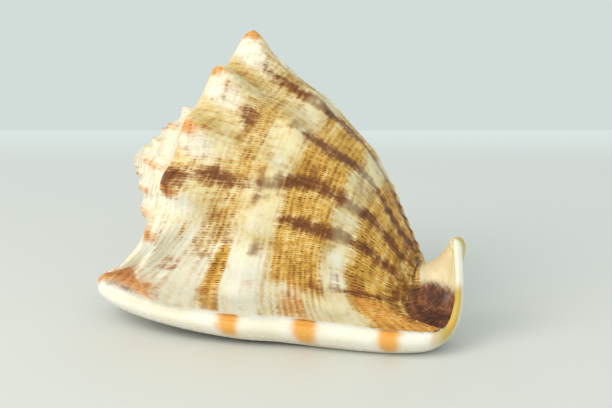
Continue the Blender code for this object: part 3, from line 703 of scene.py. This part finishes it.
# Brown crescents, dotted at their edges and blurred to a greyish tone where the skin is glazed
brown_share = add(tree, MATH, {0: dash, 1: 0.35, 2: 0.75}, operation="MULTIPLY_ADD")
brown_share = add(tree, MATH, {0: brown_share, 1: mask["brown"], 2: ragged}, operation="MULTIPLY_ADD")
brown_share = add(tree, RANGE, {0: brown_share, 1: 0.10, 2: 0.78, 4: 0.95}, interpolation_type="SMOOTHSTEP")
umber_ragged = add(tree, MATH, {0: patch, 1: 0.8, 2: ragged}, operation="MULTIPLY_ADD")
umber_share = add(tree, MATH, {0: dash, 1: 0.55, 2: umber_ragged}, operation="MULTIPLY_ADD")
umber_share = add(tree, MATH, {0: umber_share, 1: mask["brown"]}, operation="MULTIPLY")
umber = add(tree, MIX, {0: umber_share, 6: linear("#9C5414"), 7: linear("#451A02")}, **AS_COLOUR)
umber = add(tree, MIX, {0: mask["glazed"], 6: umber, 7: linear("#A08260")}, **AS_COLOUR)
colour = add(tree, MIX, {0: brown_share, 6: colour, 7: umber}, **AS_COLOUR)

# Porcelain cream of lip, canal and shield, with the orange bars of the lip, the dark brown and the painted
# shade lines of the dark mask, and painted brown shade deep in the slot
dark_share = add(tree, MATH, {0: ragged, 1: 0.5, 2: mask["dark"]}, operation="MULTIPLY_ADD")
dark_share = add(tree, RANGE, {0: dark_share, 1: 0.15, 2: 0.9}, interpolation_type="SMOOTHSTEP")
pale = add(tree, MIX, {0: straw_share, 6: linear("#FEFCF6"), 7: linear("#FAF5E6")}, **AS_COLOUR)
pale = add(tree, MIX, {0: mask["yolk"], 6: pale, 7: linear("#D5B558")}, **AS_COLOUR)
colour = add(tree, MIX, {0: mask["smooth"], 6: colour, 7: pale}, **AS_COLOUR)
bar_share = add(tree, MATH, {0: mottle, 1: 0.5, 2: mask["bars"]}, operation="MULTIPLY_ADD")
bar_share = add(tree, RANGE, {0: bar_share, 1: 0.35, 2: 1.1, 4: 0.95}, interpolation_type="SMOOTHSTEP")
colour = add(tree, MIX, {0: bar_share, 6: colour, 7: linear("#F0AC42")}, **AS_COLOUR)
# Chestnut brown for the canal patch, also used for the painted shade lines in the crease and along the lip's
# seam
umber_spots = add(tree, RANGE, {0: ragged, 1: -0.40, 2: 0.15}, interpolation_type="SMOOTHSTEP")
chestnut = add(tree, MIX, {0: umber_spots, 6: linear("#96562A"), 7: linear("#45200C")}, **AS_COLOUR)
colour = add(tree, MIX, {0: dark_share, 6: colour, 7: chestnut}, **AS_COLOUR)
# Painted shade deep in the slot, in brown
colour = add(tree, MIX, {0: mask["deep"], 6: colour, 7: linear("#8A4B22")}, **AS_COLOUR)
tree.links.new(colour, surface.inputs["Base Color"])

roughness = add(tree, MATH, {0: sleek, 1: -0.16, 2: 0.38}, operation="MULTIPLY_ADD")
roughness = add(tree, MATH, {0: mottle, 1: 0.10, 2: roughness}, operation="MULTIPLY_ADD")
tree.links.new(roughness, surface.inputs["Roughness"])
surface.inputs["IOR"].default_value = 1.53
surface.inputs["Specular IOR Level"].default_value = 0.35
surface.inputs["Subsurface Weight"].default_value = 0.06
surface.inputs["Subsurface Radius"].default_value = (1.0, 0.6, 0.35)
surface.inputs["Subsurface Scale"].default_value = 0.0015
height = add(tree, MATH, {0: dashes, 1: -1.0, 2: mottle}, operation="MULTIPLY_ADD")
height = add(tree, MATH, {0: height, 1: matt}, operation="MULTIPLY")
bump = add(tree, "ShaderNodeBump", {"Height": height, "Strength": 0.6, "Distance": 0.0002})
tree.links.new(bump, surface.inputs["Normal"])

skin.materials.clear()
skin.materials.append(finish)
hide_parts("helmet_shell")
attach(shell, "root")

# Table and wall
# A matt white table top, which fades into the pale wall beyond it at the photo's soft horizon.
TABLE_WIDE = 3.0
TABLE_NEAR = 1.5
TABLE_BEHIND = 0.353
TABLE_FADE = 0.10  # the last stretch of the top, where it takes on the wall's colour
CAMERA_TURN = math.radians(20)
AIM = (FRAME_SHIFT + np.array([35.0, 0.0, 50.0])) * MM  # the point that the camera looks at
turn_c = math.cos(CAMERA_TURN)
turn_s = math.sin(CAMERA_TURN)
for existing in bpy.context.selected_objects:
    existing.select_set(False)
bpy.ops.mesh.primitive_plane_add(size=1.0)
table = bpy.context.object
table.name = "table_top"
for vertex in table.data.vertices:
    side = TABLE_WIDE / 2 * (1 if vertex.co.x > 0 else -1)
    back = TABLE_BEHIND if vertex.co.y > 0 else -TABLE_NEAR
    vertex.co = (AIM[0] + side * turn_c - back * turn_s, AIM[1] + side * turn_s + back * turn_c, 0.0)
paint = bpy.data.materials.new("matt white laminate")
paint.use_nodes = True
tree = paint.node_tree
surface = tree.nodes["Principled BSDF"]
spot = add(tree, "ShaderNodeTexCoord", out="Object")
towards_back = add(
    tree, "ShaderNodeVectorMath", {0: spot, 1: (-turn_s, turn_c, 0.0)}, out="Value", operation="DOT_PRODUCT")
far_edge = TABLE_BEHIND - AIM[0] * turn_s + AIM[1] * turn_c
into_wall = add(
    tree, RANGE, {0: towards_back, 1: far_edge - TABLE_FADE, 2: far_edge}, interpolation_type="SMOOTHSTEP")
laminate = add(tree, MIX, {0: into_wall, 6: linear("#D9D9D7"), 7: linear("#000000")}, **AS_COLOUR)
tree.links.new(laminate, surface.inputs["Base Color"])
tree.links.new(into_wall, surface.inputs["Emission Strength"])
surface.inputs["Emission Color"].default_value = linear("#D2DDDA")
surface.inputs["Roughness"].default_value = 0.55
surface.inputs["Specular IOR Level"].default_value = 0.3
table.data.materials.append(paint)

world = bpy.data.worlds.new("pale wall")
world.use_nodes = True
sky = world.node_tree.nodes["Background"]
sky.inputs["Color"].default_value = linear("#D2DDDA")
sky.inputs["Strength"].default_value = 1.0
bpy.context.scene.world = world
bpy.context.scene.view_settings.view_transform = "Standard"

# Lights
# Soft daylight from a wide window in front on the left, with two large soft boxes for the gloss.
daylight = bpy.data.lights.new("window_light", "SUN")
daylight.energy = 0.95
daylight.angle = math.radians(55)
daylight.color = (1.0, 0.95, 0.86)
window = bpy.data.objects.new("window_light", daylight)
bpy.context.scene.collection.objects.link(window)
window.rotation_euler = (math.radians(52), 0.0, math.radians(-28))
BOXES = [  # name, place in metres, side of the box, power in watts
    ("key_box", (-0.35, -0.60, 0.55), 0.45, 2.2),
    ("fill_box", (0.65, -0.45, 0.60), 0.5, 0.8),
]
for name, spot_at, side, power in BOXES:
    lamp = bpy.data.lights.new(name, "AREA")
    lamp.size = side
    lamp.energy = power
    lamp.color = (1.0, 0.95, 0.86)
    light = bpy.data.objects.new(name, lamp)
    bpy.context.scene.collection.objects.link(light)
    light.location = spot_at
    aim = AIM - np.array(spot_at)
    tilt = math.atan2(math.hypot(aim[0], aim[1]), -aim[2])
    light.rotation_euler = (tilt, 0.0, math.atan2(-aim[0], aim[1]))

# Camera at the photo's angle: 20 degrees round from the front, 16 degrees up, 560 mm away
CAMERA_RISE = math.radians(16)
CAMERA_AWAY = 0.560
lens = bpy.data.cameras.new("camera")
lens.sensor_width = 36.0
lens.lens = 80.35
lens.shift_x = 0.0247
lens.clip_start = 0.01
camera = bpy.data.objects.new("camera", lens)
bpy.context.scene.collection.objects.link(camera)
camera.location = (
    AIM[0] + CAMERA_AWAY * math.sin(CAMERA_TURN) * math.cos(CAMERA_RISE),
    AIM[1] - CAMERA_AWAY * math.cos(CAMERA_TURN) * math.cos(CAMERA_RISE),
    AIM[2] + CAMERA_AWAY * math.sin(CAMERA_RISE))
camera.rotation_euler = (math.pi / 2 - CAMERA_RISE, 0.0, CAMERA_TURN)
bpy.context.scene.camera = camera
